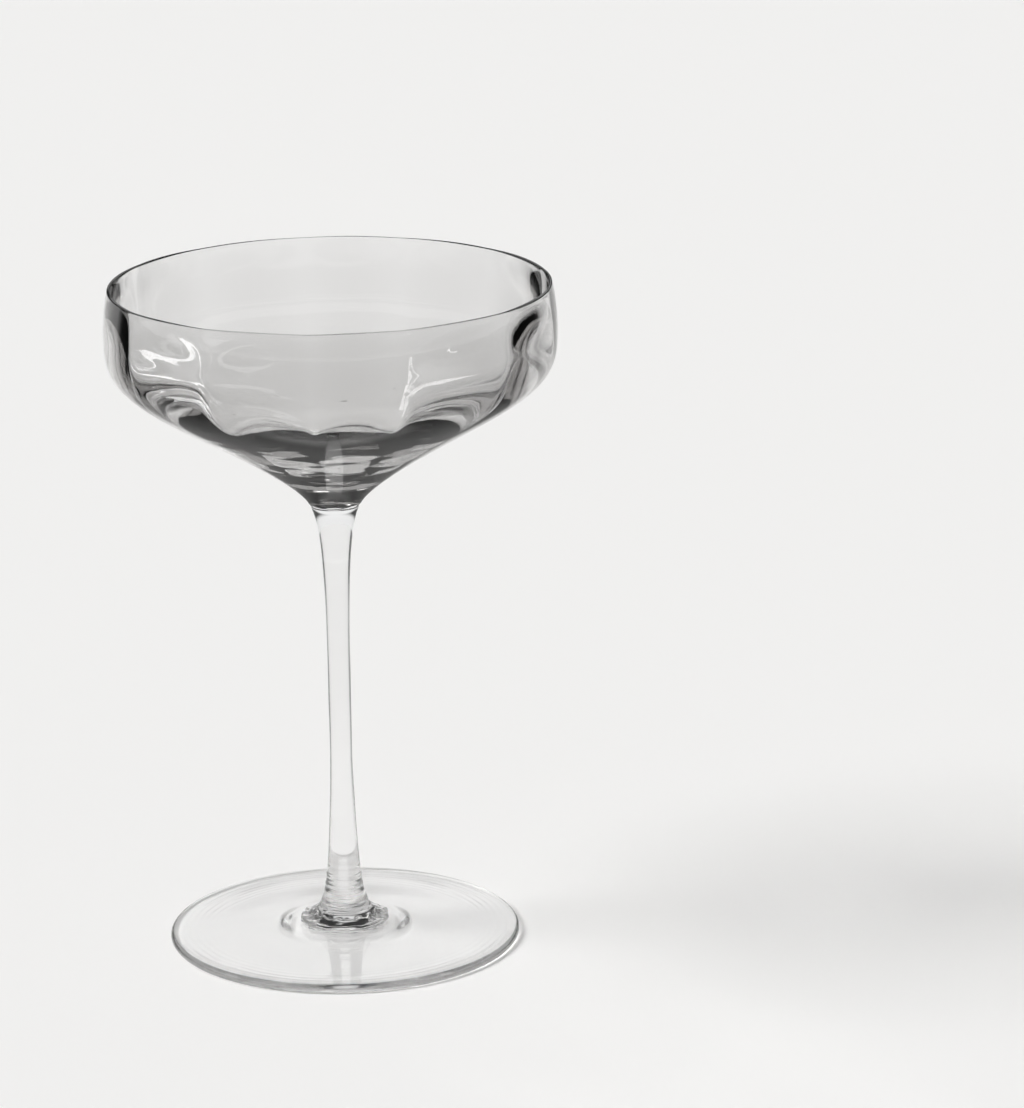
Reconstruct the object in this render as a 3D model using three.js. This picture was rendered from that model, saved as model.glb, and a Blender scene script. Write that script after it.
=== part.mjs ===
// Champagne coupe of blown glass: a smoke-grey bowl with optic flutes, a drawn clear stem and a clear foot.
// Millimetres, +Z up. The origin is the middle of the flat ring that the foot stands on.

import * as THREE from 'three';

// Foot
const FOOT_RADIUS = 44.5;
const FOOT_EDGE_THICKNESS = 2.2;
const RESTING_RING_WIDTH = 4;
const UNDERSIDE_HOLLOW = 1.4;
const HOLLOW_FLAT = 20;
const HOLLOW_REACH = 10;
const CROWN_HEIGHT = 3.9;
const DISC_EDGE_REACH = 13;
const DISC_EDGE_RISE = 0.5;
const DISC_CROWN_REACH = 8.7;
const DISC_CROWN_FALL = 0.6;
const COLLAR_RADIUS = 10.8;
const COLLAR_WIDTH = 0.9;
const COLLAR_HEIGHT = 1.3;
const BOSS_HEIGHT = 11;
const BOSS_RADIUS = 5.3;
const BOSS_FLARE = 0.27;
const BOSS_FLARE_LENGTH = 2.9;
const BOSS_SPREAD = 2.3;
const BOSS_EASE = 0.4;

// Stem
const STEM_LENGTH = 103.4;
const WAIST_RADIUS = 2.8;
const WAIST_HEIGHT = 36;
const LOWER_FLARE_LENGTH = 7.5;
const UPPER_TAPER_LENGTH = 44;
const UPPER_FLARE_LENGTH = 6.2;

// Bowl, outside
const BOWL_HEIGHT = 55.6;
const NECK_RADIUS = 6.8;
const NECK_FLARE = 0.65;
const NECK_LENGTH = 3;
const CONE_RADIUS = 37;
const CONE_HEIGHT = 21;
const CONE_ANGLE = THREE.MathUtils.degToRad(30);
const CONE_REACH = 25.5;
const SHOULDER_REACH = 21;
const SHOULDER_RISE = 10;
const BELLY_RADIUS = 56.2;
const BELLY_HEIGHT = 44.1;
const RIM_RADIUS = 55;
const RIM_LEAN = 0.2;

// Bowl, inside
const RIM_THICKNESS = 0.8;
const WALL_THICKNESS = 1.8;
const CONE_THICKNESS = 3.4;
const FLOOR_THICKNESS = 9.6;
const FLOOR_ANGLE = THREE.MathUtils.degToRad(23.5);
const FLOOR_REACH = 16;

// Flutes: soft swellings of the inside, with grooves between them. The shares run along the inside,
// from 0 at the rim to 1 at the middle of the floor.
const FLUTE_COUNT = 13;
const FLUTE_SWELL = 1;
const FLUTE_TURN = THREE.MathUtils.degToRad(-4.2);
const FLUTE_FULL_SHARE = 0.1;
const FLUTE_FADE_SHARE = 0.42;
const FLUTE_END_SHARE = 0.9;

// Mesh fineness
const FLUTE_STEPS = 8;
const STEM_SIDES = 36;
const FOOT_SIDES = 72;
const BEAD_STEPS = 4;
const EDGE_STEPS = 6;
const SHORT_CURVE_STEPS = 3;
const CURVE_STEPS = 7;
const LONG_CURVE_STEPS = 10;

const smokeGlass = new THREE.MeshStandardMaterial({
  color: 0x6d6c6b, roughness: 0.03, metalness: 0, transparent: true, opacity: 0.55,
});
const clearStemGlass = new THREE.MeshStandardMaterial({
  color: 0xf1f0ef, roughness: 0.03, metalness: 0, transparent: true, opacity: 0.35,
});
const clearFootGlass = clearStemGlass.clone();

const point = (radius, height) => new THREE.Vector2(radius, height);
const polar = (angle, length) => point(Math.cos(angle) * length, Math.sin(angle) * length);

// Points of a cubic curve from start to end, without its first point.
function sweep(start, leave, arrive, end, steps) {
  return new THREE.CubicBezierCurve(start, leave, arrive, end).getPoints(steps).slice(1);
}

// A solid of revolution about Z. The profile runs from the axis, round the outside, back to the axis.
function revolve(profile, sides) {
  return new THREE.LatheGeometry(profile, sides).rotateX(Math.PI / 2);
}

// Half-round bead from one point to the next, bulging to the right of the way it runs.
function halfRound(from, to, steps) {
  const centre = from.clone().add(to).multiplyScalar(0.5);
  const arm = from.clone().sub(centre);
  const bead = [];
  for (let step = 1; step <= steps; step += 1) {
    bead.push(arm.clone().rotateAround(point(0, 0), (Math.PI * step) / steps).add(centre));
  }
  return bead;
}

function footGeometry() {
  const edgeCentre = FOOT_RADIUS - FOOT_EDGE_THICKNESS / 2;
  const ringInside = edgeCentre - RESTING_RING_WIDTH;
  const hollow = point(0, UNDERSIDE_HOLLOW);
  const edgeBottom = point(edgeCentre, 0);
  const edgeTop = point(edgeCentre, FOOT_EDGE_THICKNESS);
  const collarFoot = point(COLLAR_RADIUS, CROWN_HEIGHT);
  const collarTop = point(COLLAR_RADIUS - COLLAR_WIDTH, CROWN_HEIGHT + COLLAR_HEIGHT);
  const bossRim = point(BOSS_RADIUS, BOSS_HEIGHT);
  const profile = [hollow];
  profile.push(...sweep(
    hollow,
    point(HOLLOW_FLAT, UNDERSIDE_HOLLOW),
    point(ringInside - HOLLOW_REACH, 0),
    point(ringInside, 0),
    CURVE_STEPS,
  ));
  profile.push(edgeBottom, ...halfRound(edgeBottom, edgeTop, EDGE_STEPS));
  profile.push(...sweep(
    edgeTop,
    point(edgeCentre - DISC_EDGE_REACH, FOOT_EDGE_THICKNESS + DISC_EDGE_RISE),
    point(COLLAR_RADIUS + DISC_CROWN_REACH, CROWN_HEIGHT - DISC_CROWN_FALL),
    collarFoot,
    CURVE_STEPS,
  ));
  profile.push(...halfRound(collarFoot, collarTop, BEAD_STEPS));
  profile.push(...sweep(
    collarTop,
    point(collarTop.x - BOSS_SPREAD, collarTop.y + BOSS_EASE),
    point(BOSS_RADIUS + BOSS_FLARE * BOSS_FLARE_LENGTH, BOSS_HEIGHT - BOSS_FLARE_LENGTH),
    bossRim,
    CURVE_STEPS,
  ));
  profile.push(point(0, BOSS_HEIGHT));
  return revolve(profile, FOOT_SIDES);
}

function stemGeometry() {
  const bottom = point(BOSS_RADIUS, 0);
  const waist = point(WAIST_RADIUS, WAIST_HEIGHT);
  const top = point(NECK_RADIUS, STEM_LENGTH);
  const profile = [point(0, 0), bottom];
  profile.push(...sweep(
    bottom,
    point(BOSS_RADIUS - BOSS_FLARE * LOWER_FLARE_LENGTH, LOWER_FLARE_LENGTH),
    waist,
    waist,
    LONG_CURVE_STEPS,
  ));
  profile.push(...sweep(
    waist,
    point(WAIST_RADIUS, WAIST_HEIGHT + UPPER_TAPER_LENGTH),
    point(NECK_RADIUS - NECK_FLARE * UPPER_FLARE_LENGTH, STEM_LENGTH - UPPER_FLARE_LENGTH),
    top,
    LONG_CURVE_STEPS,
  ));
  profile.push(point(0, STEM_LENGTH));
  return revolve(profile, STEM_SIDES);
}

function bowlOutside() {
  const neck = point(NECK_RADIUS, 0);
  const cone = point(CONE_RADIUS, CONE_HEIGHT);
  const belly = point(BELLY_RADIUS, BELLY_HEIGHT);
  const rim = point(RIM_RADIUS, BOWL_HEIGHT - RIM_THICKNESS / 2);
  const wallRise = (rim.y - BELLY_HEIGHT) / 3;
  return [
    point(0, 0),
    neck,
    ...sweep(
      neck,
      point(NECK_RADIUS + NECK_FLARE * NECK_LENGTH, NECK_LENGTH),
      cone.clone().sub(polar(CONE_ANGLE, CONE_REACH)),
      cone,
      LONG_CURVE_STEPS,
    ),
    ...sweep(
      cone,
      cone.clone().add(polar(CONE_ANGLE, SHOULDER_REACH)),
      point(BELLY_RADIUS, BELLY_HEIGHT - SHOULDER_RISE),
      belly,
      CURVE_STEPS,
    ),
    ...sweep(
      belly,
      point(BELLY_RADIUS, BELLY_HEIGHT + wallRise),
      point(RIM_RADIUS + RIM_LEAN * wallRise, rim.y - wallRise),
      rim,
      SHORT_CURVE_STEPS,
    ),
  ];
}

function bowlInside(rim) {
  const inward = polar(CONE_ANGLE + Math.PI / 2, CONE_THICKNESS);
  const cone = point(CONE_RADIUS, CONE_HEIGHT).add(inward);
  const belly = point(BELLY_RADIUS - WALL_THICKNESS, BELLY_HEIGHT);
  const floor = point(0, FLOOR_THICKNESS);
  const wallRise = (rim.y - BELLY_HEIGHT) / 3;
  return [
    ...sweep(
      rim,
      point(rim.x + RIM_LEAN * wallRise, rim.y - wallRise),
      point(belly.x, BELLY_HEIGHT + wallRise),
      belly,
      SHORT_CURVE_STEPS,
    ),
    ...sweep(
      belly,
      point(belly.x, BELLY_HEIGHT - SHOULDER_RISE),
      cone.clone().add(polar(FLOOR_ANGLE, SHOULDER_REACH - CONE_THICKNESS)),
      cone,
      LONG_CURVE_STEPS,
    ),
    ...sweep(
      cone,
      cone.clone().sub(polar(FLOOR_ANGLE, FLOOR_REACH)),
      point(FLOOR_REACH, FLOOR_THICKNESS),
      floor,
      CURVE_STEPS,
    ),
  ];
}

// How far along the inside each row of the profile lies, from 0 at the rim to 1 at the middle of the floor.
function insideShares(profile, firstInside) {
  const lengths = profile.map(() => 0);
  for (let row = firstInside + 1; row < profile.length; row += 1) {
    lengths[row] = lengths[row - 1] + profile[row].distanceTo(profile[row - 1]);
  }
  return lengths.map((length) => length / lengths[profile.length - 1]);
}

// Swells the flutes out of the inside of the bowl. They fade out at the rim and towards the floor's middle.
function swellFlutes(geometry, profile, firstInside) {
  const position = geometry.attributes.position;
  const shares = insideShares(profile, firstInside);
  const last = profile.length - 1;
  for (let index = 0; index < position.count; index += 1) {
    const row = index % profile.length;
    if (row <= firstInside || row === last) {
      continue;
    }
    const rise = THREE.MathUtils.smoothstep(shares[row], 0, FLUTE_FULL_SHARE);
    const fade = 1 - THREE.MathUtils.smoothstep(shares[row], FLUTE_FADE_SHARE, FLUTE_END_SHARE);
    const tangent = profile[row + 1].clone().sub(profile[row - 1]).normalize();
    const angle = Math.atan2(position.getX(index), -position.getY(index));
    const flute = Math.abs(Math.sin((FLUTE_COUNT * (angle - FLUTE_TURN)) / 2));
    const swell = FLUTE_SWELL * flute * rise * fade;
    const radius = profile[row].x + tangent.y * swell;
    position.setXYZ(
      index,
      Math.sin(angle) * radius,
      -Math.cos(angle) * radius,
      profile[row].y - tangent.x * swell,
    );
  }
}

function bowlGeometry() {
  const outside = bowlOutside();
  const outerRim = outside[outside.length - 1];
  const innerRim = point(outerRim.x - RIM_THICKNESS, outerRim.y);
  const brim = halfRound(outerRim, innerRim, BEAD_STEPS);
  const profile = [...outside, ...brim, ...bowlInside(innerRim)];
  const geometry = revolve(profile, FLUTE_COUNT * FLUTE_STEPS);
  swellFlutes(geometry, profile, outside.length + brim.length - 1);
  return geometry;
}

function piece(name, geometry, material, height) {
  const mesh = new THREE.Mesh(geometry, material);
  mesh.name = name;
  mesh.position.z = height;
  return mesh;
}

const coupe = new THREE.Group();
coupe.add(piece('foot', footGeometry(), clearFootGlass, 0));
coupe.add(piece('stem', stemGeometry(), clearStemGlass, BOSS_HEIGHT));
coupe.add(piece('bowl', bowlGeometry(), smokeGlass, BOSS_HEIGHT + STEM_LENGTH));

export default coupe;
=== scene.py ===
import math

import bpy
import numpy as np
from bpy.props import FloatProperty, FloatVectorProperty, IntProperty, PointerProperty
from mathutils import Matrix, Vector


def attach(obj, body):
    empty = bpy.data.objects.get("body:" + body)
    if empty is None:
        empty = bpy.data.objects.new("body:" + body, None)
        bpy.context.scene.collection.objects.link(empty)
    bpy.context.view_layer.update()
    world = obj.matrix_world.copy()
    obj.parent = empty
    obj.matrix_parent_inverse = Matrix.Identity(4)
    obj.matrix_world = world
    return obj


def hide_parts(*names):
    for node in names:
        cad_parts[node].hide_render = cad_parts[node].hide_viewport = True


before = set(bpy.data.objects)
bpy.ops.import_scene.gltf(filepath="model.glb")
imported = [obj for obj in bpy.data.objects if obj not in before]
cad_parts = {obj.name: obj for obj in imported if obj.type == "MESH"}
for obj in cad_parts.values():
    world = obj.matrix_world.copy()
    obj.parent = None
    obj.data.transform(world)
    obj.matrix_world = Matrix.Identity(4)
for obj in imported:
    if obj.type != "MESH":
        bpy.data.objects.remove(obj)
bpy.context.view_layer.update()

bl_info = {
    "name": "Champagne Coupe",
    "version": (1, 0, 0),
    "blender": (4, 5, 0),
    "location": "View3D > Sidebar > Coupe",
    "description": "Builds a blown coupe glass with a smoke-grey fluted bowl on a clear stem and foot",
    "category": "Object",
}

MILLIMETRE = 0.001
WELD_GAP = 0.02 * MILLIMETRE

# The photograph's frame and camera
FRAME_HEIGHT = 1108
FOCAL_PIXELS = 5048
SENSOR_WIDTH = 36
CLIP_END = 100
CAMERA_PLACE = (0.0440, -1.2161, 0.4455)
CAMERA_PITCH = math.radians(15.86)
CAMERA_ROLL = math.radians(0.84)

# Handles of the bowl's curves: lengths in millimetres, slope and lean as shares
NECK_FLARE = 0.65
NECK_LENGTH = 3
CONE_REACH = 25.5
SHOULDER_REACH = 21
SHOULDER_RISE = 10
INNER_SHOULDER_REACH = 17.6
FLOOR_REACH = 16
RIM_LEAN = 0.2

# Handles of the stem's curves, in the same way
BOSS_FLARE = 0.27
LOWER_FLARE_LENGTH = 7.5
UPPER_TAPER_LENGTH = 44
UPPER_FLARE_LENGTH = 6.2

# Handles of the foot's curves: lengths in millimetres, or pairs of a share of the radius and a rise
RESTING_RING_WIDTH = 4
HOLLOW_SHARES = (0.5, 0.75)
DISC_EDGE = (0.7, 0.5)
DISC_CROWN = (0.45, -0.6)
COLLAR_WIDTH = 0.9
COLLAR_HEIGHT = 1.26
BOSS_EASE = (0.7, 0.4)

# Steps of the meshes along their curves and round the axis
CONE_STEPS = 66
SHOULDER_STEPS = 42
WALL_STEPS = 18
BRIM_STEPS = 12
INNER_SHOULDER_STEPS = 48
FLOOR_STEPS = 54
LOWER_STEM_STEPS = 160
UPPER_STEM_STEPS = 120
HOLLOW_STEPS = 40
EDGE_STEPS = 20
DISC_STEPS = 170
COLLAR_STEPS = 16
BOSS_STEPS = 60
SIDES_PER_FLUTE = 28
STEM_SIDES = 160
FOOT_SIDES = 320
BUBBLE_SIDES = 12
BUBBLE_ROWS = 7
SHARP_ANGLE = math.radians(55)

# How far each groove between flutes strays from even spacing, in degrees, going round from the front
GROOVE_STRAY = (0.7, -3.0, 0.4, 1.0, -0.8, 0.6, 1.2, -0.9, 0.5, -0.6, 0.8, 0.3, 0.6)
GROOVE_SOFTNESS = 0.15

# Waves that the tools left in the bowl's thick floor: length, turns round the axis, phase, depth
FLOOR_WAVES = (
    (9.0, 5, 0.3, 0.045),
    (11.0, -6, 1.0, 0.045),
    (6.0, 8, 2.0, 0.025),
    (4.0, -9, 0.0, 0.014),
)

# Shares of the inside's length where flutes and floor waves start, are full, wane and are gone
FLUTE_FADE = (-0.06, 0.10, 0.42, 0.90)
FLOOR_WAVE_FADE = (0.45, 0.62, 0.90, 0.99)

# Fine air seeds in the bowl's floor: least and greatest radius, nearest place and spread in millimetres
BUBBLE_COUNT = 60
BUBBLE_SIZE = (0.09, 0.28)
BUBBLE_REACH = (6, 27)
BUBBLE_CROWDING = 0.7
BUBBLE_DEPTH = (0.25, 0.5)

# Steps that spread the seeds evenly in reach, turn, depth and size
BUBBLE_SPREAD = (0.754878, 0.618034, 0.569840, 0.438579)

# Shear marks round the lower weld: depth, spacing and phase of rings, and their sway as turns, phase, share
SHEAR_RINGS = ((0.05, 2.3, 0.0), (0.035, 1.3, 1.0))
SHEAR_SWAY = ((1, 0.7, 0.5), (3, 0.0, 0.3))

# Marks on the stem in millimetres: fades at its ends, groove with depth, place and width, slow waver
STEM_RING_FADE = (3, 9)
STEM_END_FADE = (0.5, 0.4)
NECK_GROOVE = (0.15, 1.0, 0.5)
STEM_WAVER = 0.02
STEM_WAVES = ((31, 2, 1.0), (17, -1, 0.6))

# Lumps of the foot's collar in millimetres: turns, lift per row, phase and share each, and where they fade
COLLAR_LUMP = 0.30
COLLAR_LUMPS = ((7, 0.05, 0.2, 0.5), (11, -0.07, 1.3, 0.6), (16, 0.10, 2.9, 0.45), (22, -0.12, 4.1, 0.25))
LUMP_ROWS = (-6, 4, 8, 30)
LUMP_FRONT = 0.25
BOSS_RING_ROWS = (4, 14, -8, -2)

# The ripple beside the collar, in millimetres, with its share in front and how closely it keeps to the sides
RIPPLE_RADIUS = 15.0
RIPPLE_WIDTH = 1.3
RIPPLE_HEIGHT = 0.6
RIPPLE_FRONT = 0.02
RIPPLE_GATHER = 6

# Fine rings near the foot's edge with depth and spacing in millimetres, and the disc's slow waver
EDGE_RINGS = (0.035, 1.7)
EDGE_RING_SWAY = ((1, 0.0, 0.8), (2, 1.0, 0.4))
EDGE_RING_FADE = (0.74, 0.86, 0.93, 0.97)
EDGE_RING_TURN = (-0.2, 0.8)
EDGE_RING_FRONT = 0.15
DISC_WAVER = 0.02
DISC_WAVES = ((3, 3.1, 0), (2, -4.3, 1))
DISC_WAVER_FADE = (0.3, 0.45, 0.88, 0.96)

# Finish of each glass: waves and drawn cords per metre, their depths in tenths of a millimetre, polish
SMOKE_FINISH = {
    "Wave Scale": 70, "Wave Depth": 0.30,
    "Cord Scale": 260, "Cord Stretch": 0.12, "Cord Depth": 0.15, "Polish": 0.05,
}
STEM_FINISH = {
    "Wave Scale": 120, "Wave Depth": 0.12,
    "Cord Scale": 700, "Cord Stretch": 0.03, "Cord Depth": 0.03, "Polish": 0.05,
}
FOOT_FINISH = {
    "Wave Scale": 110, "Wave Depth": 0.20,
    "Cord Scale": 300, "Cord Stretch": 1.0, "Cord Depth": 0.03, "Polish": 0.05,
}
WELD_FINISH = {"Wave Depth": 0.0, "Cord Depth": 0.0, "Polish": 0.02}
FINISH_DEPTH = 0.1 * MILLIMETRE
WAVE_DETAIL = 1.5
CORD_DETAIL = 2.0
FINISH_COARSENESS = 0.4
SMEARS = (0.45, 0.75)
GLASS_IOR = 1.5
WELD_IOR = 1.0
CLEAR = (1, 1, 1)

# Softboxes that light the bowl: turn from the front and height in degrees, width and height in metres, level
LAMPS = (
    ("rear right strip softbox", 174, 16, 0.15, 0.30, 5.5),
    ("right high softbox", 158, 28, 0.15, 0.30, 1.2),
    ("rear left strip softbox", -140, 47, 0.10, 0.30, 8.0),
)
LAMP_TARGET = (0, 0, 0.14)
LAMP_GROUP = "softbox glass"

# The table, and the painted shade in its colour that only the glass shows: degrees from the rear, distances
# in metres
TABLE_HALF = 6
TABLE_ROUGHNESS = 0.9
SHADE_TURN = (46, 56, 78, 88)
SHADE_ASIDE = (48, 62)
SHADE_NEAR = (0.05, 0.12)
SHADE_FAR = (0.30, 0.52)
SHADE_MIRRORED = (0.13, 0.20)
SHADE_BELOW = (0.04, 0.08, 0.30, 0.22)

# Brightness of the table's colour in the near, far, mirrored and below painted shades
SHADE_LEVELS = (0.50, 0.07, 0.04, 0.34)

# Parts of the room that the glass shows, in degrees from their middle where each starts and is full
UP = (0, 0, 1)
DIM_ABOVE = (84, 76)
DIM_MIRRORED = (91, 88)
REAR_WALL_RISE = 24
REAR_WALL_SPREAD = (15, 9)
PALE_OUTSIDE = (78, 73)
DIM_OUTSIDE = (56, 50)

# The broad soft light at the left, which the table receives
KEY_WAY = (-0.72, -0.1, 0.7)
KEY_SPREAD = (18, 6)

# Limits that part counts of a ray's crossings and mirrorings, and how often light may bounce
NONE_OR_SOME = 0.5
FEW_OR_MANY = 2.5
BOUNCES = 32


class CoupeBowlSettings(bpy.types.PropertyGroup):
    rim_radius: FloatProperty(
        name="Rim radius", description="Outer radius of the mouth", default=0.055, unit="LENGTH")
    belly_radius: FloatProperty(
        name="Belly radius", description="Outer radius at the widest height", default=0.0562, unit="LENGTH")
    belly_height: FloatProperty(
        name="Belly height", description="Height of the widest ring above the weld",
        default=0.0441, unit="LENGTH")
    height: FloatProperty(
        name="Height", description="Height of the bowl above the weld", default=0.0556, unit="LENGTH")
    neck_radius: FloatProperty(
        name="Neck radius", description="Radius of the weld to the stem", default=0.0068, unit="LENGTH")
    cone_radius: FloatProperty(
        name="Cone radius", description="Outer radius where the cone turns into the shoulder",
        default=0.037, unit="LENGTH")
    cone_height: FloatProperty(
        name="Cone height", description="Height of that turn above the weld", default=0.021, unit="LENGTH")
    cone_angle: FloatProperty(
        name="Cone angle", description="Slope of the cone", default=math.radians(30), unit="ROTATION")
    rim_thickness: FloatProperty(
        name="Rim thickness", description="Thickness of the rounded lip", default=0.0008, unit="LENGTH")
    wall_thickness: FloatProperty(
        name="Wall thickness", description="Thickness of the upright wall", default=0.0018, unit="LENGTH")
    cone_thickness: FloatProperty(
        name="Cone thickness", description="Thickness at the turn of the cone", default=0.0034, unit="LENGTH")
    floor_thickness: FloatProperty(
        name="Floor thickness", description="Depth of glass under the lowest point inside",
        default=0.0096, unit="LENGTH")
    floor_angle: FloatProperty(
        name="Floor angle", description="Slope of the inner floor",
        default=math.radians(23.5), unit="ROTATION")
    flute_count: IntProperty(
        name="Flutes", description="Number of soft flutes inside", default=13, min=3, max=40)
    flute_depth: FloatProperty(
        name="Flute depth", description="How far each flute swells into the bowl",
        default=0.001, unit="LENGTH")
    flute_turn: FloatProperty(
        name="Flute turn", description="Angle of the first groove from the front",
        default=math.radians(-4.2), unit="ROTATION")
    smoke_colour: FloatVectorProperty(
        name="Smoke colour", description="Colour that thick glass takes on", default=(0.03, 0.01, 0.0),
        size=3, min=0, max=1, subtype="COLOR")
    smoke_density: FloatProperty(
        name="Smoke density", description="How quickly the glass darkens with depth, per metre", default=40)


class CoupeStemSettings(bpy.types.PropertyGroup):
    length: FloatProperty(
        name="Length", description="Length between the two welds", default=0.1034, unit="LENGTH")
    waist_radius: FloatProperty(
        name="Waist radius", description="Radius at the slimmest height", default=0.0028, unit="LENGTH")
    waist_height: FloatProperty(
        name="Waist height", description="Height of the waist above the foot's boss",
        default=0.036, unit="LENGTH")
    colour: FloatVectorProperty(
        name="Colour", description="Tint of the clear glass", default=(1.0, 1.0, 1.0),
        size=3, min=0, max=1, subtype="COLOR")


class CoupeFootSettings(bpy.types.PropertyGroup):
    radius: FloatProperty(
        name="Radius", description="Outer radius of the foot", default=0.0445, unit="LENGTH")
    edge_thickness: FloatProperty(
        name="Edge thickness", description="Thickness of the rounded edge", default=0.0022, unit="LENGTH")
    crown_height: FloatProperty(
        name="Crown height", description="Height of the disc where the collar stands",
        default=0.0039, unit="LENGTH")
    hollow: FloatProperty(
        name="Hollow", description="Rise of the underside in the middle", default=0.0014, unit="LENGTH")
    collar_radius: FloatProperty(
        name="Collar radius", description="Radius of the lumpy collar round the boss",
        default=0.0108, unit="LENGTH")
    boss_radius: FloatProperty(
        name="Boss radius", description="Radius of the weld to the stem", default=0.0053, unit="LENGTH")
    boss_height: FloatProperty(
        name="Boss height", description="Height of that weld above the table", default=0.011, unit="LENGTH")
    colour: FloatVectorProperty(
        name="Colour", description="Tint of the clear glass", default=(1.0, 1.0, 1.0),
        size=3, min=0, max=1, subtype="COLOR")


class CoupeStageSettings(bpy.types.PropertyGroup):
    floor_colour: FloatVectorProperty(
        name="Floor colour", description="Colour of the table top", default=(0.90, 0.895, 0.885),
        size=3, min=0, max=1, subtype="COLOR")
    dome_level: FloatProperty(
        name="Dome level", description="Even light on the table from all round", default=0.47)
    key_level: FloatProperty(
        name="Key level", description="Brightness of the broad soft light at the left", default=14.0)
    pale_level: FloatProperty(
        name="Pale level", description="Brightness of the backdrop near the horizon", default=0.88)
    rear_level: FloatProperty(
        name="Rear level", description="Brightness of the wall behind, which the foot mirrors", default=0.8)
    dark_level: FloatProperty(
        name="Dark level", description="Brightness of the dim room above the backdrop", default=0.025)


def settings():
    scene = bpy.context.scene
    return scene.coupe_bowl, scene.coupe_stem, scene.coupe_foot, scene.coupe_stage


# Outlines and meshes

def cubic(start, leave, arrive, end, steps):
    """Points of a cubic curve after its first point."""
    t = np.linspace(0, 1, steps + 1)[1:, None]
    start, leave, arrive, end = (np.array(p, float) for p in (start, leave, arrive, end))
    return (1 - t) ** 3 * start + 3 * (1 - t) ** 2 * t * leave + 3 * (1 - t) * t ** 2 * arrive + t ** 3 * end


def half_round(start, end, steps):
    """Points of a half circle after its first point, bulging to the right of the way it runs."""
    start, end = np.array(start, float), np.array(end, float)
    middle = (start + end) / 2
    arm = start - middle
    turn = math.pi * np.arange(1, steps + 1) / steps
    across = arm[0] * np.cos(turn) - arm[1] * np.sin(turn)
    up = arm[0] * np.sin(turn) + arm[1] * np.cos(turn)
    return middle + np.stack([across, up], 1)


def polar(angle, length):
    return np.array([math.cos(angle), math.sin(angle)]) * length


def smoothstep(low, high, value):
    t = np.clip((value - low) / (high - low), 0, 1)
    return t * t * (3 - 2 * t)


def band(start, full, wane, gone, value):
    """A soft band from nought to one and back to nought."""
    return smoothstep(start, full, value) * (1 - smoothstep(wane, gone, value))


def at_least(least, share):
    return least + (1 - least) * share


def sway(parts, angle):
    """A slow unevenness round the axis, summed from parts with turns, phase and share."""
    return sum(share * np.sin(turns * angle + phase) for turns, phase, share in parts)


def skin_normals(profile):
    """Unit normals that point out of the glass along an outline."""
    tangent = np.gradient(profile, axis=0)
    tangent /= np.maximum(np.hypot(tangent[:, 0], tangent[:, 1])[:, None], 1e-12)
    return np.stack([tangent[:, 1], -tangent[:, 0]], 1)


def arc_lengths(profile):
    steps = np.diff(profile, axis=0)
    return np.concatenate([[0], np.cumsum(np.hypot(steps[:, 0], steps[:, 1]))])


def revolve(name, profile, sides, base, swell, cavities=()):
    """A closed solid of revolution. The outline runs from the axis round the outside back to the axis."""
    angle = 2 * math.pi * np.arange(sides) / sides
    normal = skin_normals(profile)
    out = swell(angle[:, None], profile)
    radius = profile[None, :, 0] + out * normal[None, :, 0]
    height = profile[None, :, 1] + out * normal[None, :, 1]
    rows = len(profile) - 2
    x = np.sin(angle)[:, None] * radius
    y = -np.cos(angle)[:, None] * radius
    skin = np.stack([x, y, height + base], 2)[:, 1:-1].reshape(-1, 3)
    low, high = len(skin), len(skin) + 1
    ends = np.array([[0, 0, profile[0, 1] + base], [0, 0, profile[-1, 1] + base]])
    side = np.arange(sides)
    following = (side + 1) % sides
    row = np.arange(rows - 1)
    here = side[:, None] * rows + row[None]
    there = following[:, None] * rows + row[None]
    quads = np.stack([here, there, there + 1, here + 1], 2).reshape(-1, 4)
    bottom = np.stack([np.full(sides, low), following * rows, side * rows], 1)
    top = np.stack([np.full(sides, high), side * rows + rows - 1, following * rows + rows - 1], 1)
    points = np.vstack([skin, ends]).tolist()
    faces = quads.tolist() + bottom.tolist() + top.tolist()
    for centre, size in cavities:
        add_cavity(points, faces, np.array(centre) + (0, 0, base), size)
    mesh = bpy.data.meshes.new(name)
    mesh.from_pydata(points, [], faces)
    mesh.validate()
    mesh.shade_smooth()
    mesh.set_sharp_from_angle(angle=SHARP_ANGLE)
    piece = bpy.data.objects.new(name, mesh)
    bpy.context.scene.collection.objects.link(piece)
    return piece


def add_cavity(points, faces, centre, size):
    """A small round bubble whose skin faces inward, as the glass around it does."""
    sides, rows = BUBBLE_SIDES, BUBBLE_ROWS
    first = len(points)
    for row in range(1, rows):
        tilt = math.pi * row / rows
        for side in range(sides):
            turn = 2 * math.pi * side / sides
            way = np.array([math.cos(turn) * math.sin(tilt), math.sin(turn) * math.sin(tilt), math.cos(tilt)])
            points.append((centre + size * way).tolist())
    high, low = len(points), len(points) + 1
    points.append((centre + (0, 0, size)).tolist())
    points.append((centre - (0, 0, size)).tolist())
    last = first + (rows - 2) * sides
    for side in range(sides):
        after = (side + 1) % sides
        faces.append([high, first + after, first + side])
        faces.append([low, last + side, last + after])
        for row in range(rows - 2):
            here = first + row * sides
            faces.append([here + side, here + after, here + sides + after, here + sides + side])


def set_weld_faces(piece, weld_height):
    """Gives the flat faces at the weld's height the second material slot."""
    vertices = piece.data.vertices
    for face in piece.data.polygons:
        z = [vertices[i].co.z for i in face.vertices]
        if max(z) - min(z) < 1e-7 and abs(z[0] - weld_height) < 1e-6:
            face.material_index = 1


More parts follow.
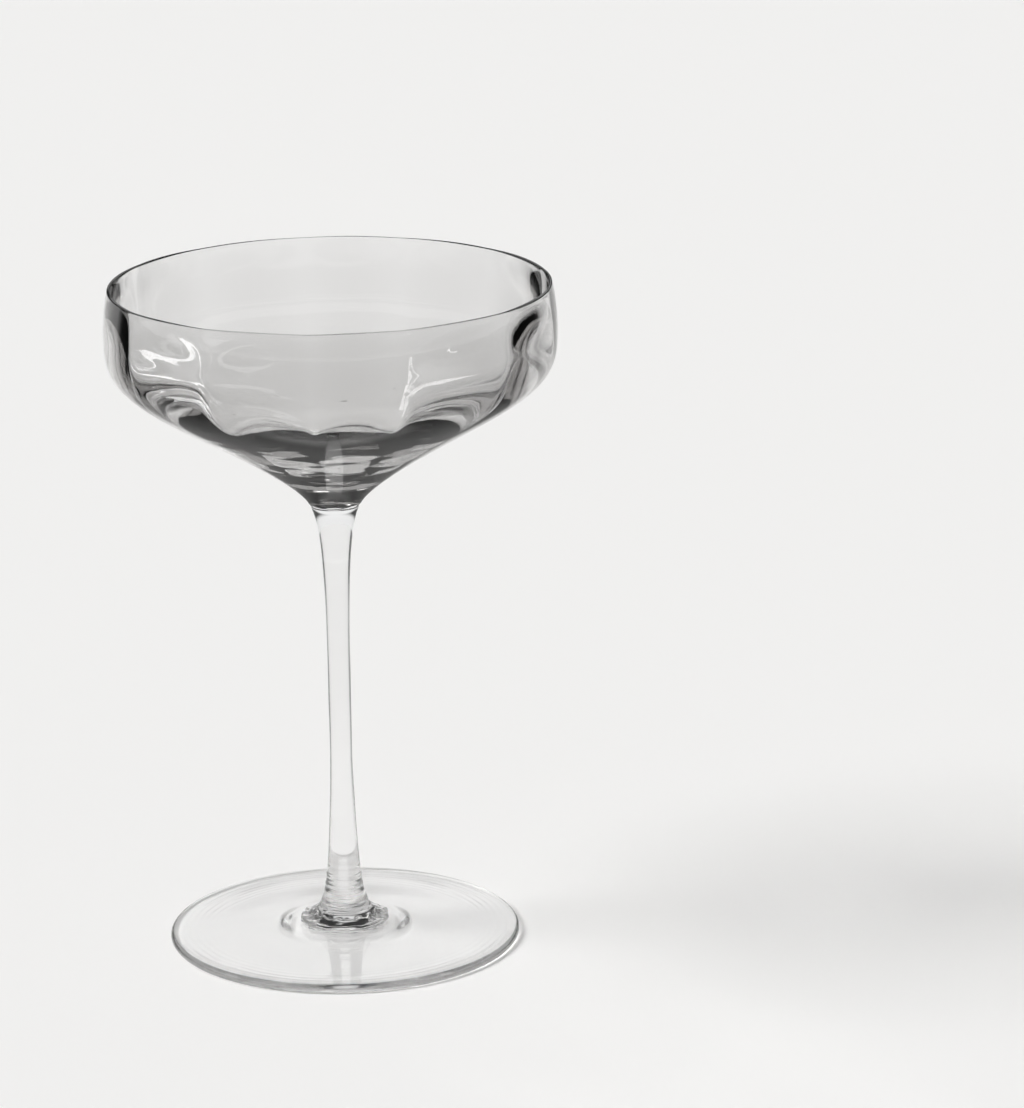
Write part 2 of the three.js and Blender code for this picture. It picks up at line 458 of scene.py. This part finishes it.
def dress(piece, node, materials):
    """Puts a finished piece in the place of its frame node."""
    for material in materials:
        piece.data.materials.append(material)
    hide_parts(node)
    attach(piece, "root")


# Bowl

def bowl_outline(bowl):
    """The bowl's outline and the row at which its inside starts."""
    mm = MILLIMETRE
    neck = np.array([bowl.neck_radius, 0])
    cone = np.array([bowl.cone_radius, bowl.cone_height])
    belly = np.array([bowl.belly_radius, bowl.belly_height])
    rim = np.array([bowl.rim_radius, bowl.height - bowl.rim_thickness / 2])
    rise = (rim[1] - belly[1]) / 3
    lean = RIM_LEAN * rise
    flare = neck + (NECK_FLARE * NECK_LENGTH * mm, NECK_LENGTH * mm)
    shoulder = (0, SHOULDER_RISE * mm)
    cone_below = cone - polar(bowl.cone_angle, CONE_REACH * mm)
    cone_above = cone + polar(bowl.cone_angle, SHOULDER_REACH * mm)
    outside = np.vstack([
        [[0, 0], neck],
        cubic(neck, flare, cone_below, cone, CONE_STEPS),
        cubic(cone, cone_above, belly - shoulder, belly, SHOULDER_STEPS),
        cubic(belly, belly + (0, rise), rim + (lean, -rise), rim, WALL_STEPS),
    ])
    inner_rim = rim - (bowl.rim_thickness, 0)
    brim = half_round(rim, inner_rim, BRIM_STEPS)
    turn = cone + polar(bowl.cone_angle + math.pi / 2, bowl.cone_thickness)
    wall = belly - (bowl.wall_thickness, 0)
    floor = np.array([0, bowl.floor_thickness])
    turn_above = turn + polar(bowl.floor_angle, INNER_SHOULDER_REACH * mm)
    turn_below = turn - polar(bowl.floor_angle, FLOOR_REACH * mm)
    inside = np.vstack([
        cubic(inner_rim, inner_rim + (lean, -rise), wall + (0, rise), wall, WALL_STEPS),
        cubic(wall, wall - shoulder, turn_above, turn, INNER_SHOULDER_STEPS),
        cubic(turn, turn_below, floor + (FLOOR_REACH * mm, 0), floor, FLOOR_STEPS),
    ])
    return np.vstack([outside, brim, inside]), len(outside) + len(brim)


def flute_phase(angle, bowl):
    """Angle round the bowl measured in flutes, with the grooves strayed by hand."""
    count = bowl.flute_count
    pitch = 2 * math.pi / count
    stray = np.radians([GROOVE_STRAY[i % len(GROOVE_STRAY)] for i in range(count)])
    grooves = np.arange(count) * pitch + bowl.flute_turn + stray
    grooves = np.concatenate([grooves - 2 * math.pi, grooves, grooves + 2 * math.pi])
    return np.interp(angle, grooves, np.arange(3 * count, dtype=float))


def floor_waves(angle, length):
    """Shallow waves that run round and up the bowl's floor, summed."""
    return sum(
        depth * MILLIMETRE * np.cos(2 * math.pi * length[None] / (span * MILLIMETRE) + turns * angle + phase)
        for span, turns, phase, depth in FLOOR_WAVES)


def bowl_swell(bowl, inside):
    """Flutes that swell into the bowl, with grooves between them, and the slight waves of hand work."""
    soft = GROOVE_SOFTNESS

    def swell(angle, profile):
        rows = np.arange(len(profile))
        length = arc_lengths(profile)
        along = (length - length[inside]) / (length[-1] - length[inside])
        fade = band(*FLUTE_FADE, np.maximum(along, 0)) * smoothstep(inside - BRIM_STEPS, inside, rows)
        flute = np.sqrt(np.sin(math.pi * flute_phase(angle, bowl)) ** 2 + soft ** 2) - soft
        flute /= math.sqrt(1 + soft ** 2) - soft
        floor = band(*FLOOR_WAVE_FADE, along) * (rows >= inside)
        return bowl.flute_depth * flute * fade[None] + floor_waves(angle, length) * floor[None]
    return swell


def bubbles(outline, inside):
    """Places and sizes of the fine seeds of air in the thick floor of the bowl."""
    outer = outline[1:inside - BRIM_STEPS]
    inner = outline[inside:][::-1]
    nearest, reach = BUBBLE_REACH
    lowest, lift = BUBBLE_DEPTH
    least, greatest = BUBBLE_SIZE
    places = []
    for i in range(BUBBLE_COUNT):
        out, around, up, swollen = ((i * step) % 1 for step in BUBBLE_SPREAD)
        radius = MILLIMETRE * (nearest + reach * out ** BUBBLE_CROWDING)
        turn = 2 * math.pi * around
        bottom = np.interp(radius, outer[:, 0], outer[:, 1])
        top = np.interp(radius, inner[:, 0], inner[:, 1])
        height = bottom + (top - bottom) * (lowest + lift * up)
        size = MILLIMETRE * (least + (greatest - least) * swollen ** 2)
        places.append(((radius * math.sin(turn), -radius * math.cos(turn), height), size))
    return places


# Stem and foot

def stem_outline(stem, bowl, foot):
    """The stem's outline from the foot's boss up to the bowl's neck."""
    bottom = np.array([foot.boss_radius, 0])
    waist = np.array([stem.waist_radius, stem.waist_height])
    top = np.array([bowl.neck_radius, stem.length - WELD_GAP])
    lower = LOWER_FLARE_LENGTH * MILLIMETRE
    upper = UPPER_FLARE_LENGTH * MILLIMETRE
    taper = waist + (0, UPPER_TAPER_LENGTH * MILLIMETRE)
    return np.vstack([
        [[0, 0], bottom],
        cubic(bottom, bottom + (-BOSS_FLARE * lower, lower), waist, waist, LOWER_STEM_STEPS),
        cubic(waist, taper, top - (NECK_FLARE * upper, upper), top, UPPER_STEM_STEPS),
        [[0, top[1]]],
    ])


def shear_rings(angle, height):
    """Uneven rings round the weld of stem and foot."""
    uneven = sway(SHEAR_SWAY, angle)
    return sum(
        depth * MILLIMETRE * np.sin(2 * math.pi * height / (spacing * MILLIMETRE) + phase + uneven)
        for depth, spacing, phase in SHEAR_RINGS)


def stem_swell(stem):
    """Rings that the shears left at the stem's bottom, a groove below the bowl, and the draw's slow waver."""
    mm = MILLIMETRE
    depth, drop, width = NECK_GROOVE
    ring_full, ring_gone = STEM_RING_FADE
    bottom_fade, top_fade = STEM_END_FADE

    def swell(angle, profile):
        height = profile[None, :, 1]
        skin = (profile[:, 0] > 0)[None] * smoothstep(0, bottom_fade * mm, height)
        skin = skin * smoothstep(stem.length, stem.length - top_fade * mm, height)
        rings = shear_rings(angle, height) * (1 - smoothstep(ring_full * mm, ring_gone * mm, height))
        groove = -depth * mm * np.exp(-((stem.length - drop * mm - height) / (width * mm)) ** 2)
        waver = STEM_WAVER * mm * sum(
            share * np.sin(2 * math.pi * height / (span * mm) + turns * angle)
            for span, turns, share in STEM_WAVES)
        return (rings + groove + waver) * skin
    return swell


def foot_outline(foot):
    """The foot's outline and the rows where its edge, disc, collar, boss and top start."""
    mm = MILLIMETRE
    edge = foot.radius - foot.edge_thickness / 2
    ring = edge - RESTING_RING_WIDTH * mm
    low = np.array([0, foot.hollow])
    under = np.array([edge, 0])
    over = np.array([edge, foot.edge_thickness])
    collar = np.array([foot.collar_radius, foot.crown_height])
    collar_top = collar + (-COLLAR_WIDTH * mm, COLLAR_HEIGHT * mm)
    boss = np.array([foot.boss_radius, foot.boss_height])
    half_rise = (boss[1] - collar_top[1]) / 2
    hollow_flat = low + (HOLLOW_SHARES[0] * ring, 0)
    hollow_end = (HOLLOW_SHARES[1] * ring, 0)
    disc_edge = (DISC_EDGE[0] * edge, over[1] + DISC_EDGE[1] * mm)
    disc_crown = (DISC_CROWN[0] * edge, collar[1] + DISC_CROWN[1] * mm)
    boss_ease = (BOSS_EASE[0] * collar[0], collar_top[1] + BOSS_EASE[1] * mm)
    boss_flare = boss + (BOSS_FLARE * half_rise, -half_rise)
    parts = [
        np.vstack([[low], cubic(low, hollow_flat, hollow_end, (ring, 0), HOLLOW_STEPS), [under]]),
        half_round(under, over, EDGE_STEPS),
        cubic(over, disc_edge, disc_crown, collar, DISC_STEPS),
        half_round(collar, collar_top, COLLAR_STEPS),
        cubic(collar_top, boss_ease, boss_flare, boss, BOSS_STEPS),
        [[0, boss[1]]],
    ]
    return np.vstack(parts), np.cumsum([len(part) for part in parts])


def foot_swell(foot, starts):
    """Lumps of the collar, a ripple round it, rings on the boss and fine rings by the edge."""
    mm = MILLIMETRE
    disc, collar, boss, cap = starts[1:5]
    lump_rows = np.array(LUMP_ROWS) + (collar, collar, boss, boss)
    boss_rows = np.array(BOSS_RING_ROWS) + (boss, boss, cap, cap)
    ring_depth, ring_spacing = EDGE_RINGS

    def swell(angle, profile):
        rows = np.arange(len(profile))[None]
        radius = profile[None, :, 0]
        height = profile[None, :, 1]
        across = radius / foot.radius
        on_disc = (rows >= disc) & (rows < collar)
        beside = np.sin(angle) ** 2
        lumps = sum(
            size * np.cos(turns * angle + lift * rows + phase) for turns, lift, phase, size in COLLAR_LUMPS)
        lumps = COLLAR_LUMP * mm * lumps * band(*lump_rows, rows) * at_least(LUMP_FRONT, beside)
        ripple = np.exp(-((radius - RIPPLE_RADIUS * mm) / (RIPPLE_WIDTH * mm)) ** 2)
        ripple = RIPPLE_HEIGHT * mm * ripple * at_least(RIPPLE_FRONT, beside ** RIPPLE_GATHER)
        behind = at_least(EDGE_RING_FRONT, smoothstep(*EDGE_RING_TURN, -np.cos(angle)))
        fine = np.cos(2 * math.pi * radius / (ring_spacing * mm) + sway(EDGE_RING_SWAY, angle))
        fine = ring_depth * mm * fine * band(*EDGE_RING_FADE, across) * behind
        slow = sum(np.cos(turns * angle + radius / (span * mm) + phase) for turns, span, phase in DISC_WAVES)
        slow = DISC_WAVER * mm * slow * band(*DISC_WAVER_FADE, across)
        return lumps + (ripple + fine + slow) * on_disc + shear_rings(angle, height) * band(*boss_rows, rows)
    return swell


# Materials

def set_or_link(tree, socket, value):
    if isinstance(value, bpy.types.NodeSocket):
        tree.links.new(value, socket)
    else:
        socket.default_value = value


def calculate(tree, operation, *values):
    node = tree.nodes.new("ShaderNodeMath")
    node.operation = operation
    for socket, value in zip(node.inputs, values):
        set_or_link(tree, socket, value)
    return node.outputs[0]


def product(tree, first, *others):
    for other in others:
        first = calculate(tree, "MULTIPLY", first, other)
    return first


def ramp(tree, value, low, high):
    """A soft step from nought at the low value to one at the high value."""
    node = tree.nodes.new("ShaderNodeMapRange")
    node.interpolation_type = "SMOOTHSTEP"
    set_or_link(tree, node.inputs["Value"], value)
    node.inputs["From Min"].default_value = low
    node.inputs["From Max"].default_value = high
    return node.outputs[0]


def blend(tree, share, first, second):
    node = tree.nodes.new("ShaderNodeMix")
    set_or_link(tree, node.inputs[0], share)
    set_or_link(tree, node.inputs[2], first)
    set_or_link(tree, node.inputs[3], second)
    return node.outputs[0]


def glass_surface_group():
    """Shared finish of hand-worked glass: slow waves, fine drawn cords and a faint unevenness of polish."""
    name = "hand worked glass"
    if name in bpy.data.node_groups:
        return bpy.data.node_groups[name]
    group = bpy.data.node_groups.new(name, "ShaderNodeTree")
    sockets = group.interface
    for socket, default in SMOKE_FINISH.items():
        sockets.new_socket(socket, in_out="INPUT", socket_type="NodeSocketFloat").default_value = default
    for socket in ("Height", "Roughness"):
        sockets.new_socket(socket, in_out="OUTPUT", socket_type="NodeSocketFloat")
    entry = group.nodes.new("NodeGroupInput").outputs
    leave = group.nodes.new("NodeGroupOutput").inputs
    place = group.nodes.new("ShaderNodeTexCoord").outputs["Object"]

    def noise(vector, scale, detail):
        node = group.nodes.new("ShaderNodeTexNoise")
        node.inputs["Detail"].default_value = detail
        node.inputs["Roughness"].default_value = FINISH_COARSENESS
        group.links.new(vector, node.inputs["Vector"])
        group.links.new(scale, node.inputs["Scale"])
        return node.outputs["Fac"]

    stretch = group.nodes.new("ShaderNodeCombineXYZ")
    stretch.inputs["X"].default_value = 1
    stretch.inputs["Y"].default_value = 1
    group.links.new(entry["Cord Stretch"], stretch.inputs["Z"])
    drawn = group.nodes.new("ShaderNodeVectorMath")
    drawn.operation = "MULTIPLY"
    group.links.new(place, drawn.inputs[0])
    group.links.new(stretch.outputs[0], drawn.inputs[1])
    waves = noise(place, entry["Wave Scale"], WAVE_DETAIL)
    cords = noise(drawn.outputs[0], entry["Cord Scale"], CORD_DETAIL)
    height = calculate(
        group, "ADD", product(group, waves, entry["Wave Depth"]), product(group, cords, entry["Cord Depth"]))
    smears = ramp(group, waves, *SMEARS)
    group.links.new(height, leave["Height"])
    group.links.new(product(group, smears, entry["Polish"]), leave["Roughness"])
    return group


def glass_material(name, colour, finish, ior=GLASS_IOR):
    material = bpy.data.materials.new(name)
    material.use_nodes = True
    tree = material.node_tree
    shader = tree.nodes["Principled BSDF"]
    shader.inputs["Base Color"].default_value = (*colour, 1)
    shader.inputs["IOR"].default_value = ior
    shader.inputs["Transmission Weight"].default_value = 1.0
    surface = tree.nodes.new("ShaderNodeGroup")
    surface.node_tree = glass_surface_group()
    for socket, value in finish.items():
        surface.inputs[socket].default_value = value
    bump = tree.nodes.new("ShaderNodeBump")
    bump.inputs["Strength"].default_value = 1.0
    bump.inputs["Distance"].default_value = FINISH_DEPTH
    tree.links.new(surface.outputs["Height"], bump.inputs["Height"])
    tree.links.new(surface.outputs["Roughness"], shader.inputs["Roughness"])
    tree.links.new(bump.outputs["Normal"], shader.inputs["Normal"])
    return material


def smoke_glass(bowl):
    """Glass that is coloured through, so that thick places are darker."""
    material = glass_material("smoke_glass", CLEAR, SMOKE_FINISH)
    nodes, links = material.node_tree.nodes, material.node_tree.links
    smoke = nodes.new("ShaderNodeVolumeAbsorption")
    smoke.inputs["Color"].default_value = (*bowl.smoke_colour, 1)
    smoke.inputs["Density"].default_value = bowl.smoke_density
    links.new(smoke.outputs["Volume"], nodes["Material Output"].inputs["Volume"])
    return material


def weld_glass():
    """The hidden face of a weld, through which light passes straight on."""
    name = "weld_glass"
    if name in bpy.data.materials:
        return bpy.data.materials[name]
    return glass_material(name, CLEAR, WELD_FINISH, WELD_IOR)


# Stage

def floor_material(stage):
    """A pale table. Beside and beyond the camera's view, its colour is darkened with painted shade that only
    the glass shows.
    """
    material = bpy.data.materials.new("table_top")
    material.use_nodes = True
    tree = material.node_tree
    shader = tree.nodes["Principled BSDF"]
    shader.inputs["Roughness"].default_value = TABLE_ROUGHNESS
    shader.inputs["Specular IOR Level"].default_value = 0.0
    path = tree.nodes.new("ShaderNodeLightPath").outputs
    place = tree.nodes.new("ShaderNodeTexCoord").outputs["Object"]
    parts = tree.nodes.new("ShaderNodeSeparateXYZ")
    tree.links.new(place, parts.inputs[0])
    length = tree.nodes.new("ShaderNodeVectorMath")
    length.operation = "LENGTH"
    tree.links.new(place, length.inputs[0])
    reach = length.outputs["Value"]
    turn = calculate(tree, "ABSOLUTE", calculate(tree, "ARCTAN2", parts.outputs["X"], parts.outputs["Y"]))
    in_glass = calculate(tree, "SUBTRACT", 1.0, path["Is Camera Ray"])
    mirrored = calculate(tree, "GREATER_THAN", path["Glossy Depth"], NONE_OR_SOME)
    unbent = calculate(tree, "LESS_THAN", path["Transmission Depth"], NONE_OR_SOME)
    little_bent = calculate(tree, "LESS_THAN", path["Transmission Depth"], FEW_OR_MANY)
    start, full, wane, gone = (math.radians(degrees) for degrees in SHADE_TURN)
    sides = product(tree, ramp(tree, turn, start, full), ramp(tree, turn, gone, wane), in_glass)
    aside = ramp(tree, turn, *(math.radians(degrees) for degrees in SHADE_ASIDE))
    around_foot = product(tree, ramp(tree, reach, *SHADE_BELOW[:2]), ramp(tree, reach, *SHADE_BELOW[2:]))
    # Painted shade: these masks darken the table's colour where rays coming through or off the glass, not
    # from the camera, land
    shades = (
        product(tree, sides, ramp(tree, reach, *SHADE_NEAR)),
        product(tree, sides, little_bent, ramp(tree, reach, *SHADE_FAR)),
        product(tree, mirrored, aside, ramp(tree, reach, *SHADE_MIRRORED)),
        product(tree, mirrored, unbent, around_foot),
    )
    level = 1.0
    for shade, shade_level in zip(shades, SHADE_LEVELS):
        level = blend(tree, shade, level, shade_level)
    tint = tree.nodes.new("ShaderNodeMix")
    tint.data_type = "RGBA"
    tint.blend_type = "MULTIPLY"
    tint.inputs[0].default_value = 1
    tint.inputs[6].default_value = (*stage.floor_colour, 1)
    tree.links.new(level, tint.inputs[7])
    tree.links.new(tint.outputs[2], shader.inputs["Base Color"])
    return material


def cosine(degrees):
    return math.cos(math.radians(degrees))


def surroundings(stage):
    """The room as the glass shows it, a dome of light for the table, and a pale backdrop for the camera."""
    world = bpy.data.worlds.new("studio")
    bpy.context.scene.world = world
    world.use_nodes = True
    tree = world.node_tree
    tree.nodes.clear()
    output = tree.nodes.new("ShaderNodeOutputWorld")
    light = tree.nodes.new("ShaderNodeBackground")
    path = tree.nodes.new("ShaderNodeLightPath").outputs
    way = tree.nodes.new("ShaderNodeTexCoord").outputs["Generated"]

    def zones(level, parts):
        for direction, (start, full), target, share in parts:
            toward = tree.nodes.new("ShaderNodeVectorMath")
            toward.operation = "DOT_PRODUCT"
            toward.inputs[1].default_value = Vector(direction).normalized()
            tree.links.new(way, toward.inputs[0])
            part = ramp(tree, toward.outputs["Value"], cosine(start), cosine(full))
            if share is not None:
                part = product(tree, part, share)
            level = blend(tree, part, level, target)
        return level

    mirrored = calculate(tree, "GREATER_THAN", path["Glossy Depth"], NONE_OR_SOME)
    unbent = calculate(tree, "LESS_THAN", path["Transmission Depth"], NONE_OR_SOME)
    outside = product(tree, mirrored, unbent)
    from_glass = calculate(tree, "MAXIMUM", path["Is Glossy Ray"], path["Is Transmission Ray"])
    in_glass = calculate(tree, "GREATER_THAN", from_glass, path["Diffuse Depth"])
    dome = zones(stage.dome_level, [(KEY_WAY, KEY_SPREAD, stage.key_level, None)])
    studio = zones(stage.pale_level, studio_zones(stage, mirrored, outside))
    level = blend(tree, in_glass, dome, studio)
    level = blend(tree, path["Is Camera Ray"], level, stage.pale_level)
    tree.links.new(level, light.inputs["Color"])
    tree.links.new(light.outputs[0], output.inputs["Surface"])


def studio_zones(stage, mirrored, outside):
    """Parts of the room: direction, degrees from it where the part starts and is full, brightness, share."""
    rear_wall = (0, cosine(REAR_WALL_RISE), cosine(90 - REAR_WALL_RISE))
    return [
        (UP, DIM_ABOVE, stage.dark_level, None),
        (UP, DIM_MIRRORED, stage.dark_level, mirrored),
        (rear_wall, REAR_WALL_SPREAD, stage.rear_level, None),
        (UP, PALE_OUTSIDE, stage.rear_level, outside),
        (UP, DIM_OUTSIDE, stage.dark_level, outside),
    ]


def lamp_place(turn, rise):
    """A point one metre from the bowl, turned from the front and raised by these degrees."""
    turn, rise = math.radians(turn), math.radians(rise)
    way = Vector((math.sin(turn) * math.cos(rise), -math.cos(turn) * math.cos(rise), math.sin(rise)))
    return Vector(LAMP_TARGET) + way


def softbox(name, level, place, width, height):
    """A lamp that lights only the bowl's glass."""
    data = bpy.data.lights.new(name, "AREA")
    data.energy = level * math.pi * width * height
    data.shape = "RECTANGLE"
    data.size = width
    data.size_y = height
    lamp = bpy.data.objects.new(name, data)
    lamp.location = place
    lamp.rotation_euler = (place - Vector(LAMP_TARGET)).to_track_quat("Z", "Y").to_euler()
    lamp.visible_camera = False
    lamp.visible_diffuse = False
    lamp.visible_glossy = False
    bpy.context.scene.collection.objects.link(lamp)
    lamp.light_linking.receiver_collection = bpy.data.collections[LAMP_GROUP]


def camera():
    data = bpy.data.cameras.new("camera")
    data.sensor_width = SENSOR_WIDTH
    data.lens = FOCAL_PIXELS * SENSOR_WIDTH / FRAME_HEIGHT
    data.clip_end = CLIP_END
    view = Vector((0, math.cos(CAMERA_PITCH), -math.sin(CAMERA_PITCH)))
    right = Vector((1, 0, 0))
    down = view.cross(right)
    across = math.cos(CAMERA_ROLL) * right + math.sin(CAMERA_ROLL) * down
    below = math.cos(CAMERA_ROLL) * down - math.sin(CAMERA_ROLL) * right
    thing = bpy.data.objects.new("camera", data)
    turn = Matrix((across, -below, -view)).transposed().to_4x4()
    thing.matrix_world = Matrix.Translation(CAMERA_PLACE) @ turn
    bpy.context.scene.collection.objects.link(thing)
    bpy.context.scene.camera = thing


# Operators

class COUPE_OT_stage(bpy.types.Operator):
    """Sets up the camera, the table, the room and the lamps"""
    bl_idname = "coupe.stage"
    bl_label = "Stage"

    def execute(self, context):
        stage = settings()[3]
        scene = context.scene
        scene.view_settings.view_transform = "Standard"
        scene.cycles.max_bounces = BOUNCES
        scene.cycles.transmission_bounces = BOUNCES
        scene.cycles.glossy_bounces = BOUNCES
        scene.cycles.blur_glossy = 0
        camera()
        mesh = bpy.data.meshes.new("table")
        half = TABLE_HALF
        mesh.from_pydata(
            [(-half, -half, 0), (half, -half, 0), (half, half, 0), (-half, half, 0)], [], [(0, 1, 2, 3)])
        mesh.materials.append(floor_material(stage))
        table = bpy.data.objects.new("table", mesh)
        table.location.z = -WELD_GAP
        scene.collection.objects.link(table)
        surroundings(stage)
        bpy.data.collections.new(LAMP_GROUP)
        for name, turn, rise, width, height, level in LAMPS:
            softbox(name, level, lamp_place(turn, rise), width, height)
        return {"FINISHED"}


class COUPE_OT_bowl(bpy.types.Operator):
    """Builds the smoke-grey bowl with its inner flutes"""
    bl_idname = "coupe.bowl"
    bl_label = "Bowl"

    def execute(self, context):
        bowl, stem, foot = settings()[:3]
        outline, inside = bowl_outline(bowl)
        sides = SIDES_PER_FLUTE * bowl.flute_count
        base = foot.boss_height + stem.length + WELD_GAP
        swell = bowl_swell(bowl, inside)
        piece = revolve("bowl_glass", outline, sides, base, swell, bubbles(outline, inside))
        dress(piece, "bowl", [smoke_glass(bowl)])
        bpy.data.collections[LAMP_GROUP].objects.link(piece)
        return {"FINISHED"}


class COUPE_OT_stem(bpy.types.Operator):
    """Builds the drawn clear stem"""
    bl_idname = "coupe.stem"
    bl_label = "Stem"

    def execute(self, context):
        bowl, stem, foot = settings()[:3]
        base = foot.boss_height + WELD_GAP
        piece = revolve("stem_glass", stem_outline(stem, bowl, foot), STEM_SIDES, base, stem_swell(stem))
        material = glass_material("clear_stem_glass", stem.colour, STEM_FINISH)
        dress(piece, "stem", [material, weld_glass()])
        set_weld_faces(piece, base)
        return {"FINISHED"}


class COUPE_OT_foot(bpy.types.Operator):
    """Builds the clear foot with its collar and boss"""
    bl_idname = "coupe.foot"
    bl_label = "Foot"

    def execute(self, context):
        foot = settings()[2]
        outline, starts = foot_outline(foot)
        piece = revolve("foot_glass", outline, FOOT_SIDES, 0, foot_swell(foot, starts))
        material = glass_material("clear_foot_glass", foot.colour, FOOT_FINISH)
        dress(piece, "foot", [material, weld_glass()])
        set_weld_faces(piece, foot.boss_height)
        return {"FINISHED"}


class COUPE_PT_panel(bpy.types.Panel):
    """Lists the coupe's pieces with their settings"""
    bl_idname = "COUPE_PT_panel"
    bl_label = "Champagne Coupe"
    bl_space_type = "VIEW_3D"
    bl_region_type = "UI"
    bl_category = "Coupe"

    def draw(self, context):
        scene = context.scene
        for operator, group in PANEL_ROWS:
            box = self.layout.box()
            box.operator(operator)
            values = getattr(scene, group)
            for name in values.__annotations__:
                box.prop(values, name)


PANEL_ROWS = (
    ("coupe.stage", "coupe_stage"),
    ("coupe.foot", "coupe_foot"),
    ("coupe.stem", "coupe_stem"),
    ("coupe.bowl", "coupe_bowl"),
)
CLASSES = (
    CoupeBowlSettings,
    CoupeStemSettings,
    CoupeFootSettings,
    CoupeStageSettings,
    COUPE_OT_stage,
    COUPE_OT_bowl,
    COUPE_OT_stem,
    COUPE_OT_foot,
    COUPE_PT_panel,
)


def register():
    for cls in CLASSES:
        bpy.utils.register_class(cls)
    bpy.types.Scene.coupe_bowl = PointerProperty(type=CoupeBowlSettings)
    bpy.types.Scene.coupe_stem = PointerProperty(type=CoupeStemSettings)
    bpy.types.Scene.coupe_foot = PointerProperty(type=CoupeFootSettings)
    bpy.types.Scene.coupe_stage = PointerProperty(type=CoupeStageSettings)


def unregister():
    for name in ("coupe_bowl", "coupe_stem", "coupe_foot", "coupe_stage"):
        delattr(bpy.types.Scene, name)
    for cls in reversed(CLASSES):
        bpy.utils.unregister_class(cls)


def main():
    register()
    bpy.ops.coupe.stage()
    bpy.ops.coupe.foot()
    bpy.ops.coupe.stem()
    bpy.ops.coupe.bowl()


if __name__ == "__main__":
    main()
